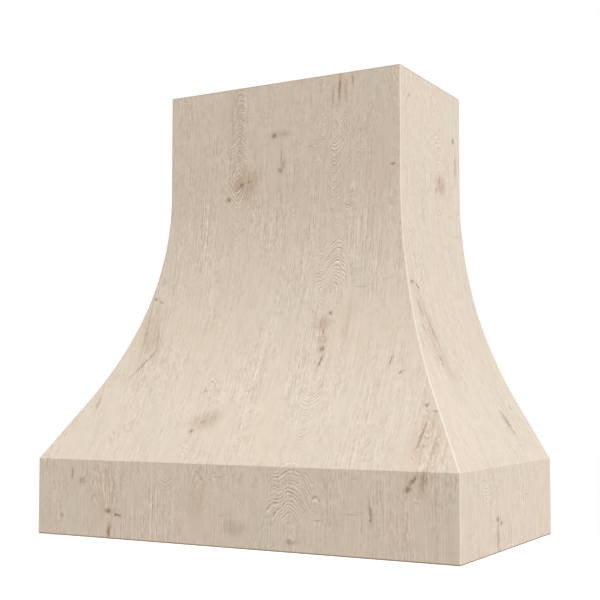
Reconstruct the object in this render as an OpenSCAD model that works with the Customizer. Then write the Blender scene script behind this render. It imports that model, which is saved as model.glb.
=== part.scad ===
// Wall-hung wooden cover for a built-in range hood insert.
// A curved skin of bent plywood runs from an upright chimney down to a square apron.
// Inside are ribs, a belt frame, a shelf for the insert and a two-part hanging cleat.
//
// Millimetres, +Z up, +Y into the wall, +X to the right of a person who faces the hood.
// The origin is the centre of the wall cleat's screw pattern, on the face of the wall.

/* [Overall size] */
// Width across the apron
hood_w = 914; // [900:1:1219]
// Height from the apron's lower rim to the top
hood_h = 914; // [905:1:1219]
// Depth from the wall to the apron's face
hood_d = 495; // [470:1:560]
// Height of the upright apron
apron_h = 152; // [130:1:160]
// Distance that the chimney stands back from the apron, at the front and at each side
flare = 190; // [170:1:198]

/* [Sweep of the skin] */
// Radius of the hollow curve under the chimney
sweep_r = 840; // [740:5:880]
// Angle from upright at which the curve runs out into the straight slope
sweep_angle = 31; // [28:0.5:34]

/* [Skin and apron] */
// Thickness of the bent plywood skin
skin_t = 9; // [6:0.5:12]
// Thickness of the apron boards
apron_t = 18; // [16:1:22]
// Width of the loose spline in each apron mitre
spline_w = 12; // [8:1:14]
// Thickness of that spline
spline_t = 4; // [3:0.5:5]
// Distance from the spline's ends to the apron's rim and top
spline_stop = 20; // [10:1:30]

/* [Ribs] */
// Thickness of the plywood ribs
rib_t = 18; // [15:1:22]
// Depth of each rib behind the skin
rib_depth = 35; // [28:1:38]
// Distance between the front ribs
rib_pitch = 165; // [145:1:175]
// Distance from the wall to the middle of each side rib
side_rib_y = 160; // [120:1:180]
// Height of the blocking between the front ribs
blocking_h = 60; // [40:1:80]

/* [Top board] */
// Thickness of the top board
top_t = 18; // [12:1:22]
// Diameter of the duct hole
duct_d = 210; // [150:1:214]

/* [Belt frame and nailers] */
// Thickness of the flat belt rails
belt_t = 18; // [15:1:22]
// Width of the flat belt rails
belt_w = 80; // [70:1:86]
// Thickness of the two back rails
rail_t = 18; // [15:1:20]

/* [Insert shelf] */
// Thickness of the shelf
shelf_t = 18; // [12:1:22]
// Distance from the apron's lower rim up to the shelf
shelf_recess = 25; // [12:1:32]
// Width of the cut-out for the insert
cutout_w = 700; // [520:1:705]
// Depth of the cut-out for the insert
cutout_d = 290; // [240:1:300]
// Distance from the wall to the cut-out
cutout_y = 85; // [70:1:90]
// Diameter of the pilot holes for the insert's flange
pilot_d = 3; // [2:0.1:4]
// Distance from the cut-out's edges to those holes
pilot_edge = 15; // [10:1:18]
// Depth of the ledgers that carry the shelf
ledger_w = 20; // [18:1:24]
// Height of those ledgers
ledger_h = 30; // [24:1:34]
// Length of each leg of the glue blocks in the apron's front corners
block_leg = 50; // [30:1:60]
// Thickness of the battens in the apron's back corners
batten_w = 20; // [16:1:26]

/* [Hanging cleat] */
// Distance from the top of the hood down to the wall cleat's screw line
cleat_drop = 154; // [140:1:156]
// Thickness of both cleats
cleat_t = 18; // [15:1:20]
// Height of the wall cleat at its front face
wall_cleat_h = 80; // [70:1:86]
// Height of the hood cleat above the top of the wall cleat
hood_cleat_h = 60; // [40:1:70]
// Distance from the wall cleat's ends to its screw holes, which meets studs at 406.4
wall_hole_edge = 16.7; // [12:0.1:24]
// Distance between the two screw holes on one stud
stud_hole_rise = 36; // [24:1:40]
// Diameter of the wall screw holes
wall_hole_d = 6.5; // [5:0.1:8]

/* [Wood screws] */
// Diameter of the shank
screw_d = 4; // [3:0.1:5]
// Diameter of the countersunk head
screw_head_d = 8; // [7:0.1:9]
// Length of the screws that hold boards to ribs, rails and ledgers
screw_l = 38; // [34:1:42]
// Length of the screws that hold ledgers, battens, cleats and the upper rail
short_screw_l = 32; // [27:1:33]
// Distance from the ends of the upper rail's height to its screws
rail_screw_end = 30; // [20:1:40]

/* [Clearances] */
// Glue line between the curved skin and the ribs
glue_line = 0.1; // [0.05:0.05:0.3]
// Gap between the two cleats' bevels
bevel_gap = 0.3; // [0.2:0.1:0.6]
// Gap between the hung cover's cleat and the wall, and between the wall cleat and the rail
cleat_gap = 0.5; // [0.3:0.1:1]
// Gap at each end of the wall cleat
cleat_end_gap = 3; // [1:0.5:6]
// Gap all round a screw or spline in its hole or groove
hole_gap = 0.1; // [0.05:0.05:0.2]

/* [Hidden] */

$fn = 48;
curve_fn = 256;   // the large sweep is drawn finely
over = 1;         // how far a cutting shape runs past what it cuts
profile_lap = 20; // how far the parts of a face's profile overlap

oak = [0.86, 0.79, 0.70];
plywood = [0.84, 0.72, 0.54];
poplar = [0.80, 0.74, 0.58];
zinc = [0.75, 0.76, 0.78];

// Levels
z_top = cleat_drop;
z_rim = z_top - hood_h;
z_belt = z_rim + apron_h;
z_rib_top = z_top - top_t;
z_belt_under = z_belt - belt_t;
z_shelf = z_rim + shelf_recess;
z_shelf_top = z_shelf + shelf_t;
z_ledger_top = z_shelf_top + ledger_h;

// Sweep, worked out so that the slope meets the apron's upper edge
sweep_out = sweep_r * (1 - cos(sweep_angle));
slope_h = (flare - sweep_out) / tan(sweep_angle);
z_sweep = z_belt + slope_h + sweep_r * sin(sweep_angle);

// Plan sizes
half_w = hood_w / 2;
chimney_half_w = half_w - flare;
chimney_d = hood_d - flare;
apron_inner_x = half_w - apron_t;
apron_inner_y = hood_d - apron_t;
skin_inner_x = chimney_half_w - skin_t;
rib_face = skin_t + glue_line;
rib_back = rib_face + rib_depth;
rib_inner_x = chimney_half_w - rib_back;

// Hanging cleat
cleat_plane = cleat_t + cleat_gap;      // front of the wall cleat's pocket
cleat_half_l = rib_inner_x - cleat_end_gap;
stud_pitch = 2 * (cleat_half_l - wall_hole_edge);
z_cleat_bottom = cleat_t / 4 - wall_cleat_h / 2;    // the screws sit at the cleat's mean height
z_cleat_top = z_cleat_bottom + wall_cleat_h;
z_hood_cleat_top = z_cleat_top + hood_cleat_h;
z_rail = z_cleat_bottom - cleat_end_gap;

// Screws
head_h = (screw_head_d - screw_d) / 2;  // a 90 degree countersink
tip_h = screw_d * 1.2;
recess_w = screw_d * 0.3;
recess_depth = head_h * 0.8;
rib_mid = (rib_face + rib_back) / 2;
rib_lean = (screw_l - belt_t) * tan(sweep_angle);   // how far a rib leans away over a screw's grip
belt_screw_in = rib_mid / cos(sweep_angle) + rib_lean / 2;
rail_screw_z = [z_rail + rail_screw_end, z_rib_top - rail_screw_end];
shelf_screw_x = [-0.38 * hood_w, -0.13 * hood_w, 0.13 * hood_w, 0.38 * hood_w];
shelf_screw_y = [-0.25 * hood_d, -0.73 * hood_d];
nailer_screw_x = [-0.3 * hood_w, 0, 0.3 * hood_w];
cleat_screw_x = [-0.2 * hood_w, -0.07 * hood_w, 0.07 * hood_w, 0.2 * hood_w];
ledger_screw_z = z_shelf_top + ledger_h / 2;
ledger_screw_x = [-0.32 * hood_w, -0.06 * hood_w, 0.06 * hood_w, 0.32 * hood_w];
ledger_screw_y = [-0.33 * hood_d, -0.65 * hood_d];
batten_screw_z = (z_ledger_top + z_belt_under) / 2;

// ---- Profile of the faces ----------------------------------------------------------------
// A face is drawn in a plane whose first axis runs outwards from the chimney's face and whose
// second is the height. An inset moves it inwards, square to the surface.

function tangent_point(inset) = [
    sweep_r - (sweep_r + inset) * cos(sweep_angle),
    z_sweep - (sweep_r + inset) * sin(sweep_angle)
];

function slope_out(inset, z) = tangent_point(inset)[0] + (tangent_point(inset)[1] - z) * tan(sweep_angle);

// All that lies behind the inset face, from the given depth outwards
module face_profile(inset, depth, low, high) {
    run_out = tangent_point(inset);
    polygon([[-depth, high], [-inset, high], [-inset, z_sweep], [-depth, z_sweep - profile_lap]]);
    difference() {
        polygon([[-depth, z_sweep], [sweep_r, z_sweep], run_out, [-depth, run_out[1]]]);
        translate([sweep_r, z_sweep]) circle(r = sweep_r + inset, $fn = curve_fn);
    }
    polygon([[-depth, run_out[1] + profile_lap], run_out, [slope_out(inset, low), low], [-depth, low]]);
}

// The layer between two insets of the face, from the belt up to the given height
module face_layer(outer, inner, high) {
    difference() {
        face_profile(outer, inner + over, z_belt, high);
        face_profile(inner, inner + 2 * over, z_belt - over, high + over);
    }
}

// A profile drawn as [y, z], run along X and centred on it
module along_x(length) {
    translate([-length / 2, 0, 0]) rotate([90, 0, 90]) linear_extrude(length) children();
}

// A face profile run along X, facing the room
module facing_front(length) {
    along_x(length) translate([-chimney_d, 0]) mirror([1, 0]) children();
}

// A face profile run from the wall into the room, facing right
module facing_right(length) {
    rotate([90, 0, 0]) linear_extrude(length) translate([chimney_half_w, 0]) children();
}

// The part of the plan that belongs to the front, up to both mitres
module front_of_mitres(depth, low, high) {
    translate([0, 0, low]) linear_extrude(high - low) polygon([
        [-half_w - over, -hood_d - over], [half_w + over, -hood_d - over],
        [half_w - depth, depth - hood_d], [depth - half_w, depth - hood_d]
    ]);
}

// A thin upright slab along the right-hand mitre
module mitre_slab(thickness) {
    translate([half_w, -hood_d, z_belt]) rotate([0, 0, 135])
        translate([0, -thickness / 2, 0]) cube([hood_d, thickness, z_rib_top - z_belt]);
}

// ---- Screws ------------------------------------------------------------------------------
// A screw points along -Z with its head flush with Z = 0.

module wood_screw(length) {
    color(zinc) difference() {
        union() {
            translate([0, 0, -head_h]) cylinder(h = head_h, r1 = screw_d / 2, r2 = screw_head_d / 2);
            translate([0, 0, tip_h - length]) cylinder(h = length - tip_h, r = screw_d / 2);
            translate([0, 0, -length]) cylinder(h = tip_h, r1 = screw_d / 10, r2 = screw_d / 2);
        }
        for (turn = [0, 90])
            rotate([0, 0, turn])
                translate([-screw_d / 2, -recess_w / 2, -recess_depth]) cube([screw_d, recess_w, head_h]);
    }
}

module screw_hole(length) {
    translate([0, 0, -length - hole_gap]) cylinder(h = length + 2 * hole_gap, r = screw_d / 2 + hole_gap);
    translate([0, 0, -head_h]) cylinder(
        h = head_h + over, r1 = screw_d / 2 + hole_gap, r2 = screw_head_d / 2 + hole_gap + over);
}

// Turns that point a screw up, to the right, to the left, into the room and at the wall
up = [180, 0, 0];
rightward = [0, -90, 0];
leftward = [0, 90, 0];
roomward = [-90, 0, 0];
wallward = [90, 0, 0];

// The places of each group. Each passes its children the turn and the place of one screw.

module at_top_board_screws() {
    front_y = rib_mid - chimney_d;
    side_x = chimney_half_w - rib_mid;
    for (x = [-rib_pitch, 0, rib_pitch]) translate([x, front_y, z_top]) children();
    for (side = [-1, 1]) {
        translate([side * side_x, front_y, z_top]) children();
        translate([side * side_x, -side_rib_y, z_top]) children();
        translate([side * side_x, -cleat_plane / 2, z_top]) children();
    }
}

module at_belt_screws() {
    front_y = belt_screw_in - hood_d;
    side_x = half_w - belt_screw_in;
    for (x = [-rib_pitch, 0, rib_pitch]) translate([x, front_y, z_belt_under]) rotate(up) children();
    for (side = [-1, 1]) {
        translate([side * side_x, front_y, z_belt_under]) rotate(up) children();
        translate([side * side_x, -side_rib_y, z_belt_under]) rotate(up) children();
        translate([side * side_x, -cleat_plane / 2, z_belt_under]) rotate(up) children();
    }
}

module at_shelf_screws() {
    for (x = shelf_screw_x)
        translate([x, ledger_w / 2 - apron_inner_y, z_shelf]) rotate(up) children();
    for (side = [-1, 1], y = shelf_screw_y)
        translate([side * (apron_inner_x - ledger_w / 2), y, z_shelf]) rotate(up) children();
    for (x = nailer_screw_x) translate([x, -rail_t / 2, z_shelf]) rotate(up) children();
}

module at_ledger_screws() {
    for (x = ledger_screw_x)
        translate([x, ledger_w - apron_inner_y, ledger_screw_z]) rotate(roomward) children();
    for (y = ledger_screw_y) {
        translate([apron_inner_x - ledger_w, y, ledger_screw_z]) rotate(rightward) children();
        translate([ledger_w - apron_inner_x, y, ledger_screw_z]) rotate(leftward) children();
    }
}

module at_rail_screws() {
    for (side = [-1, 1], z = rail_screw_z)
        translate([side * (chimney_half_w - rib_mid), -cleat_plane - rail_t, z]) rotate(wallward) children();
}

module at_cleat_screws() {
    for (x = cleat_screw_x)
        translate([x, -cleat_gap, (z_cleat_top + z_hood_cleat_top) / 2]) rotate(roomward) children();
}

module at_batten_screws() {
    for (side = [-1, 1])
        translate([side * (apron_inner_x - batten_w / 2), -rail_t - batten_w, batten_screw_z])
            rotate(wallward) children();
}

// ---- Skin --------------------------------------------------------------------------------

module front_skin() {
    color(oak) intersection() {
        facing_front(hood_w) face_layer(0, skin_t, z_top);
        front_of_mitres(flare + 2 * skin_t, z_belt - over, z_top + over);
    }
}

module right_skin() {
    color(oak) difference() {
        facing_right(hood_d) face_layer(0, skin_t, z_top);
        front_of_mitres(flare + 2 * skin_t, z_belt - over, z_top + over);
    }
}

module left_skin() { mirror([1, 0, 0]) right_skin(); }

// ---- Apron -------------------------------------------------------------------------------

// The spline across the right-hand mitre, or its groove when grown by the gap
module spline_shape(gap) {
    translate([half_w - apron_t / 2, apron_t / 2 - hood_d, z_rim + spline_stop - gap])
        rotate([0, 0, 45])
            translate([-spline_w / 2 - gap, -spline_t / 2 - gap, 0])
                cube([spline_w + 2 * gap, spline_t + 2 * gap, apron_h - 2 * spline_stop + 2 * gap]);
}

module right_mitre_spline() { color(poplar) spline_shape(0); }
module left_mitre_spline() { mirror([1, 0, 0]) right_mitre_spline(); }

module front_apron() {
    color(oak) difference() {
        intersection() {
            translate([-half_w, -hood_d, z_rim]) cube([hood_w, apron_t, apron_h]);
            front_of_mitres(2 * apron_t, z_rim - over, z_belt + over);
        }
        for (side = [0, 1]) mirror([side, 0, 0]) spline_shape(hole_gap);
        at_ledger_screws() screw_hole(short_screw_l);
    }
}

module right_apron() {
    color(oak) difference() {
        translate([apron_inner_x, -hood_d, z_rim]) cube([apron_t, hood_d, apron_h]);
        front_of_mitres(2 * apron_t, z_rim - over, z_belt + over);
        spline_shape(hole_gap);
        at_ledger_screws() screw_hole(short_screw_l);
    }
}

module left_apron() { mirror([1, 0, 0]) right_apron(); }

// ---- Ribs --------------------------------------------------------------------------------

module rib_holes() {
    at_top_board_screws() screw_hole(screw_l);
    at_belt_screws() screw_hole(screw_l);
}

module front_rib(x) {
    color(plywood) difference() {
        translate([x, 0, 0]) facing_front(rib_t) face_layer(rib_face, rib_back, z_rib_top);
        rib_holes();
    }
}

module left_front_rib() { front_rib(-rib_pitch); }
module centre_front_rib() { front_rib(0); }
module right_front_rib() { front_rib(rib_pitch); }

// All that lies behind both faces at the right-hand corner
module corner_solid(inset, depth, low, high) {
    intersection() {
        facing_front(hood_w) face_profile(inset, depth, low, high);
        facing_right(hood_d) face_profile(inset, depth, low, high);
    }
}

// A rib under the right-hand mitre, bevelled to both faces
module right_hip_rib() {
    color(plywood) difference() {
        intersection() {
            corner_solid(rib_face, rib_back + 2 * over, z_belt, z_rib_top);
            mitre_slab(rib_t);
        }
        corner_solid(rib_back, rib_back + 3 * over, z_belt - over, z_rib_top + over);
        rib_holes();
    }
}

module left_hip_rib() { mirror([1, 0, 0]) right_hip_rib(); }

// A side rib that starts at the given distance from the wall
module right_upright(from_wall, thickness) {
    color(plywood) difference() {
        translate([0, -from_wall, 0]) facing_right(thickness) face_layer(rib_face, rib_back, z_rib_top);
        rib_holes();
        at_rail_screws() screw_hole(short_screw_l);
    }
}

module right_side_rib() { right_upright(side_rib_y - rib_t / 2, rib_t); }
module left_side_rib() { mirror([1, 0, 0]) right_side_rib(); }
module right_wall_rib() { right_upright(0, cleat_plane); }
module left_wall_rib() { mirror([1, 0, 0]) right_wall_rib(); }

module front_blocking(side) {
    color(plywood)
        translate([side * rib_pitch / 2 - (rib_pitch - rib_t) / 2, rib_face - chimney_d, z_sweep])
            cube([rib_pitch - rib_t, rib_depth, blocking_h]);
}

module left_front_blocking() { front_blocking(-1); }
module right_front_blocking() { front_blocking(1); }

// ---- Top board, back rails and cleats ----------------------------------------------------

module top_board() {
    duct_y = -(cleat_plane + rail_t + chimney_d - rib_back) / 2;
    color(plywood) difference() {
        translate([-skin_inner_x, skin_t - chimney_d, z_rib_top])
            cube([2 * skin_inner_x, chimney_d - skin_t, top_t]);
        translate([0, duct_y, z_rib_top - over]) cylinder(h = top_t + 2 * over, d = duct_d, $fn = 128);
        at_top_board_screws() screw_hole(screw_l);
    }
}

module upper_back_rail() {
    color(poplar) difference() {
        translate([-skin_inner_x, -cleat_plane - rail_t, z_rail])
            cube([2 * skin_inner_x, rail_t, z_rib_top - z_rail]);
        at_rail_screws() screw_hole(short_screw_l);
        at_cleat_screws() screw_hole(short_screw_l);
    }
}

module lower_back_rail() {
    color(poplar) difference() {
        translate([-apron_inner_x, -rail_t, z_shelf_top])
            cube([2 * apron_inner_x, rail_t, z_belt_under - z_shelf_top]);
        for (side = [-1, 1])
            translate([side * stud_pitch / 2, -rail_t, (z_shelf_top + z_belt_under) / 2]) wall_hole(rail_t);
        at_shelf_screws() screw_hole(screw_l);
        at_batten_screws() screw_hole(short_screw_l);
    }
}

// A countersunk hole for a wall screw through a board whose room side is Y = 0
module wall_hole(thickness) {
    rotate([-90, 0, 0]) {
        translate([0, 0, -over]) cylinder(h = thickness + 2 * over, d = wall_hole_d);
        translate([0, 0, -over])
            cylinder(h = over + wall_hole_d / 2, d1 = 2 * (wall_hole_d + over), d2 = wall_hole_d);
    }
}

// The wall cleat's top edge slopes down to the wall, so that the hood cleat drops into the groove
module wall_cleat() {
    color(poplar) difference() {
        along_x(2 * cleat_half_l) polygon([
            [0, z_cleat_bottom], [-cleat_t, z_cleat_bottom],
            [-cleat_t, z_cleat_top], [0, z_cleat_top - cleat_t]
        ]);
        for (side = [-1, 1], rise = [-1, 1])
            translate([side * stud_pitch / 2, -cleat_t, rise * stud_hole_rise / 2]) wall_hole(cleat_t);
    }
}

module hood_cleat() {
    bevel_z = z_cleat_top - cleat_t + bevel_gap * sqrt(2);
    color(poplar) difference() {
        along_x(2 * cleat_half_l) polygon([
            [-cleat_gap, bevel_z + cleat_gap], [-cleat_plane, bevel_z + cleat_plane],
            [-cleat_plane, z_hood_cleat_top], [-cleat_gap, z_hood_cleat_top]
        ]);
        at_cleat_screws() screw_hole(short_screw_l);
    }
}

// ---- Belt frame --------------------------------------------------------------------------

module front_belt_rail() {
    color(plywood) difference() {
        translate([-apron_inner_x, -apron_inner_y, z_belt_under]) cube([2 * apron_inner_x, belt_w, belt_t]);
        at_belt_screws() screw_hole(screw_l);
    }
}

module right_belt_rail() {
    color(plywood) difference() {
        translate([apron_inner_x - belt_w, belt_w - apron_inner_y, z_belt_under])
            cube([belt_w, apron_inner_y - belt_w, belt_t]);
        at_belt_screws() screw_hole(screw_l);
    }
}

module left_belt_rail() { mirror([1, 0, 0]) right_belt_rail(); }

// ---- Insert shelf ------------------------------------------------------------------------

module insert_shelf() {
    color(plywood) difference() {
        translate([-apron_inner_x, -apron_inner_y, z_shelf]) cube([2 * apron_inner_x, apron_inner_y, shelf_t]);
        translate([-cutout_w / 2, -cutout_y - cutout_d, z_shelf - over])
            cube([cutout_w, cutout_d, shelf_t + 2 * over]);
        for (side = [-1, 1], y = [pilot_edge - cutout_y, -cutout_y - cutout_d - pilot_edge])
            translate([side * (cutout_w / 2 + pilot_edge), y, z_shelf - over])
                cylinder(h = shelf_t + 2 * over, d = pilot_d);
        at_shelf_screws() screw_hole(screw_l);
    }
}

module front_ledger() {
    color(poplar) difference() {
        translate([-apron_inner_x, -apron_inner_y, z_shelf_top]) cube([2 * apron_inner_x, ledger_w, ledger_h]);
        at_shelf_screws() screw_hole(screw_l);
        at_ledger_screws() screw_hole(short_screw_l);
    }
}

module right_ledger() {
    color(poplar) difference() {
        translate([apron_inner_x - ledger_w, ledger_w - apron_inner_y, z_shelf_top])
            cube([ledger_w, apron_inner_y - ledger_w - rail_t, ledger_h]);
        at_shelf_screws() screw_hole(screw_l);
        at_ledger_screws() screw_hole(short_screw_l);
    }
}

module left_ledger() { mirror([1, 0, 0]) right_ledger(); }

module right_corner_block() {
    color(poplar) translate([apron_inner_x, -apron_inner_y, z_ledger_top])
        linear_extrude(z_belt_under - z_ledger_top) polygon([[0, 0], [0, block_leg], [-block_leg, 0]]);
}

module left_corner_block() { mirror([1, 0, 0]) right_corner_block(); }

module right_back_batten() {
    color(poplar) difference() {
        translate([apron_inner_x - batten_w, -rail_t - batten_w, z_ledger_top])
            cube([batten_w, batten_w, z_belt_under - z_ledger_top]);
        at_batten_screws() screw_hole(short_screw_l);
    }
}

module left_back_batten() { mirror([1, 0, 0]) right_back_batten(); }

// ---- Fasteners ---------------------------------------------------------------------------

module top_board_screws() { at_top_board_screws() wood_screw(screw_l); }
module belt_screws() { at_belt_screws() wood_screw(screw_l); }
module shelf_screws() { at_shelf_screws() wood_screw(screw_l); }
module ledger_screws() { at_ledger_screws() wood_screw(short_screw_l); }
module rail_screws() { at_rail_screws() wood_screw(short_screw_l); }
module cleat_screws() { at_cleat_screws() wood_screw(short_screw_l); }
module batten_screws() { at_batten_screws() wood_screw(short_screw_l); }

front_skin();
left_skin();
right_skin();
front_apron();
left_apron();
right_apron();
left_mitre_spline();
right_mitre_spline();
left_front_rib();
centre_front_rib();
right_front_rib();
left_hip_rib();
right_hip_rib();
left_side_rib();
right_side_rib();
left_wall_rib();
right_wall_rib();
left_front_blocking();
right_front_blocking();
top_board();
upper_back_rail();
lower_back_rail();
hood_cleat();
wall_cleat();
front_belt_rail();
left_belt_rail();
right_belt_rail();
insert_shelf();
front_ledger();
left_ledger();
right_ledger();
left_corner_block();
right_corner_block();
left_back_batten();
right_back_batten();
top_board_screws();
belt_screws();
shelf_screws();
ledger_screws();
rail_screws();
cleat_screws();
batten_screws();
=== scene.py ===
import math
from collections import namedtuple

import bmesh
import bpy
from bpy.props import (
    FloatProperty,
    FloatVectorProperty,
    IntProperty,
    PointerProperty,
)
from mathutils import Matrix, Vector


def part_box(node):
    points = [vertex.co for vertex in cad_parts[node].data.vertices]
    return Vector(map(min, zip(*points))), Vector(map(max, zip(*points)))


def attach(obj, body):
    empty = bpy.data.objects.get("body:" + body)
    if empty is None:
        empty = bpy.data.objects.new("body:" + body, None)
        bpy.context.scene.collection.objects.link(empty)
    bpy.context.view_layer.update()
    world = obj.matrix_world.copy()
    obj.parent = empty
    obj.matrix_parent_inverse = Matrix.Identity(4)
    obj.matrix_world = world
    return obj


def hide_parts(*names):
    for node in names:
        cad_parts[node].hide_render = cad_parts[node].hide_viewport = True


bl_info = {
    "name": "Bleached Oak Hood Cover",
    "version": (1, 0, 0),
    "blender": (4, 5, 0),
    "location": "View3D > Sidebar > Hood Cover",
    "description": "Builds a mitred, limed oak range hood cover round its plywood frame",
    "category": "Add Mesh",
}

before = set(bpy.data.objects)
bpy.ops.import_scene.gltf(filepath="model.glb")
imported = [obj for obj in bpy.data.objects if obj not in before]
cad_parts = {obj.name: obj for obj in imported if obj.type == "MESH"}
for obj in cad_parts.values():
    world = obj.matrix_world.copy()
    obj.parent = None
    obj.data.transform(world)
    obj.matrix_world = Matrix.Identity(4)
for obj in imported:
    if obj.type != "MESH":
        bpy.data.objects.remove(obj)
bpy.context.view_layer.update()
SKIN_LOW, SKIN_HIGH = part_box("front_skin")
APRON_LOW, APRON_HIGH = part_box("front_apron")
SPLINE_LOW, SPLINE_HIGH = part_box("right_mitre_spline")

MM = 0.001

# One step of a board's outline: how far it has flared, its height, how far its rounded edge
# is set in, the same two for its inner face, and the length up the surface from the belt.
Step = namedtuple("Step", "flare height set_in inner_flare inner_height along")


# ---- Sizes and finishes ----


def length(name, description, value):
    """A length property, in metres."""
    return FloatProperty(name=name, description=description, default=value, unit="LENGTH")


def power(name, description, value):
    """A property for the strength of a lamp."""
    return FloatProperty(name=name, description=description, default=value)


def swatch(name, description, value):
    """A colour property with linear red, green and blue."""
    return FloatVectorProperty(
        name=name,
        description=description,
        default=value,
        subtype="COLOR",
        size=3,
        min=0,
        max=1,
    )


class HoodCoverSizes(bpy.types.PropertyGroup):
    """Sizes of the boards that show, in metres."""

    flare: length("Flare", "How far the belt stands out past the chimney", 0.19)
    sweep_radius: length("Sweep Radius", "Radius of the curve between chimney and belt", 0.84)
    sweep_angle: FloatProperty(
        name="Sweep Angle",
        description="Slope of the surface below the curve, from upright",
        default=math.radians(31),
        subtype="ANGLE",
    )
    sweep_steps: IntProperty(
        name="Sweep Steps",
        description="Faces along the hollow curve",
        default=24,
        min=6,
    )
    skin_thickness: length("Skin Thickness", "Thickness of the curved skins", 0.009)
    board_thickness: length("Apron Thickness", "Thickness of the apron boards", 0.018)
    corner_round: length("Corner Round", "Radius sanded on the mitred corners", 0.0018)
    edge_round: length("Edge Round", "Radius sanded on the top and bottom edges", 0.0012)
    frame_edge: length("Frame Edge", "Width of the frame's eased edges", 0.0006)


class HoodCoverFinish(bpy.types.PropertyGroup):
    """Colours and roughness of the finishes."""

    oak: swatch("Oak", "Body of the bleached oak", (0.745, 0.650, 0.540))
    oak_pink: swatch("Warm Oak", "Warmer clouds in the oak", (0.735, 0.615, 0.510))
    oak_grey: swatch("Cool Oak", "Greyer clouds in the oak", (0.685, 0.620, 0.510))
    # Lime also paints a highlight on the right corner, and grain paints shade on the left corner.
    lime: swatch("Lime", "Liming paste left in the pores", (0.92, 0.84, 0.73))
    grain: swatch("Grain", "Dark side of the grain lines", (0.47, 0.365, 0.275))
    smear: swatch("Smear", "Brown smear round the knots", (0.50, 0.37, 0.25))
    # Knot also paints shade along the rim and the top edge.
    knot: swatch("Knot", "Core of the small knots", (0.27, 0.18, 0.115))
    oak_roughness: FloatProperty(
        name="Oak Roughness",
        description="Roughness of the matte clear coat",
        default=0.62,
        min=0,
        max=1,
    )
    birch: swatch("Birch Veneer", "Faces of the plywood", (0.66, 0.50, 0.32))
    birch_core: swatch("Plywood Core", "Cross layers in the plywood", (0.42, 0.28, 0.16))
    poplar: swatch("Poplar", "Rails, cleats, ledgers and blocks", (0.61, 0.50, 0.31))
    poplar_dark: swatch("Poplar Streak", "Late wood and streaks", (0.42, 0.34, 0.19))
    zinc: swatch("Zinc", "Plated screws", (0.62, 0.63, 0.64))


class HoodCoverStudio(bpy.types.PropertyGroup):
    """The floor and the lamps."""

    floor_drop: length("Floor Drop", "Height of the rim above the floor", 1.7)
    floor: swatch("Floor", "Plain pale floor", (0.58, 0.55, 0.52))
    key_colour: swatch("Key Colour", "Lamp above the front", (0.98, 1.0, 1.0))
    key_level: power("Key Level", "Strength of the lamp above the front", 0.663)
    side_colour: swatch("Side Colour", "Lamp at the right", (0.925, 0.965, 1.0))
    side_level: power("Side Level", "Strength of the lamp at the right", 0.645)
    back_level: power("Back Level", "Strength of the lamp behind the left", 0.35)
    ambient_colour: swatch("Ambient Colour", "Light from all round", (1.0, 0.90, 0.825))
    ambient_level: power("Ambient Level", "Strength of the light from all round", 0.365)


# ---- Outlines and boards ----


def rounded_edge(radius, steps=3):
    """Set-in and drop of a quarter round, from the flat end to the face."""
    angles = [math.pi / 2 * n / steps for n in range(steps + 1)]
    return [(radius * (1 - math.sin(a)), radius * (1 - math.cos(a))) for a in angles]


def skin_steps(sizes):
    """Steps of a skin from its top edge down to the belt."""
    top, belt = SKIN_HIGH.z, SKIN_LOW.z
    radius, slope, thick = sizes.sweep_radius, sizes.sweep_angle, sizes.skin_thickness
    arc_flare = radius * (1 - math.cos(slope))
    arc_height = radius * math.sin(slope)
    slope_height = (sizes.flare - arc_flare) / math.tan(slope)
    arc_top = belt + slope_height + arc_height
    slope_length = slope_height / math.cos(slope)
    steps = []
    straight = slope_length + radius * slope
    for set_in, drop in rounded_edge(sizes.edge_round):
        height = top - drop
        steps.append(Step(0, height, set_in, -thick, height, straight + height - arc_top))
    for n in range(sizes.sweep_steps + 1):
        tilt = slope * n / sizes.sweep_steps
        flare = radius * (1 - math.cos(tilt))
        height = arc_top - radius * math.sin(tilt)
        inner_flare = flare - thick * math.cos(tilt)
        inner_height = height - thick * math.sin(tilt)
        along = slope_length + radius * (slope - tilt)
        steps.append(Step(flare, height, 0, inner_flare, inner_height, along))
    inner_flare = sizes.flare - thick / math.cos(slope)
    steps.append(Step(sizes.flare, belt, 0, inner_flare, belt, 0))
    return steps


def apron_steps(sizes):
    """Steps of an apron board from the belt down to its eased bottom edge."""
    belt, rim = APRON_HIGH.z, APRON_LOW.z
    inner = sizes.flare - sizes.board_thickness
    steps = [Step(sizes.flare, belt, 0, inner, belt, 0)]
    for set_in, drop in reversed(rounded_edge(sizes.edge_round)):
        height = rim + drop
        steps.append(Step(sizes.flare, height, set_in, inner, height, height - belt))
    return steps


CORNER_STEPS = 3


def corner_round(sizes, step, first, last):
    """Points round the right-hand corner in plan, from one angle to another."""
    half_width, depth = plan_size(sizes, step.flare)
    radius = sizes.corner_round
    middle_x, middle_y = half_width - radius, radius - depth
    small = radius - step.set_in
    part = (last - first) / CORNER_STEPS
    angles = [math.radians(first + part * n) for n in range(CORNER_STEPS + 1)]
    return [
        Vector((middle_x + small * math.sin(a), middle_y - small * math.cos(a), step.height))
        for a in angles
    ]


def plan_size(sizes, flare):
    """Half width and depth of the cover in plan at a given flare."""
    half_width = APRON_HIGH.x - sizes.flare + flare
    depth = -APRON_LOW.y - sizes.flare + flare
    return half_width, depth


def front_outline(sizes, step):
    """Outline of the front board at one step, from the right mitre round to the inner face."""
    right = corner_round(sizes, step, 45, 0)
    left = [Vector((-p.x, p.y, p.z)) for p in reversed(right)]
    half_width, depth = plan_size(sizes, step.inner_flare)
    inner = [
        Vector((-half_width, -depth, step.inner_height)),
        Vector((half_width, -depth, step.inner_height)),
    ]
    return right + left + inner


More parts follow.
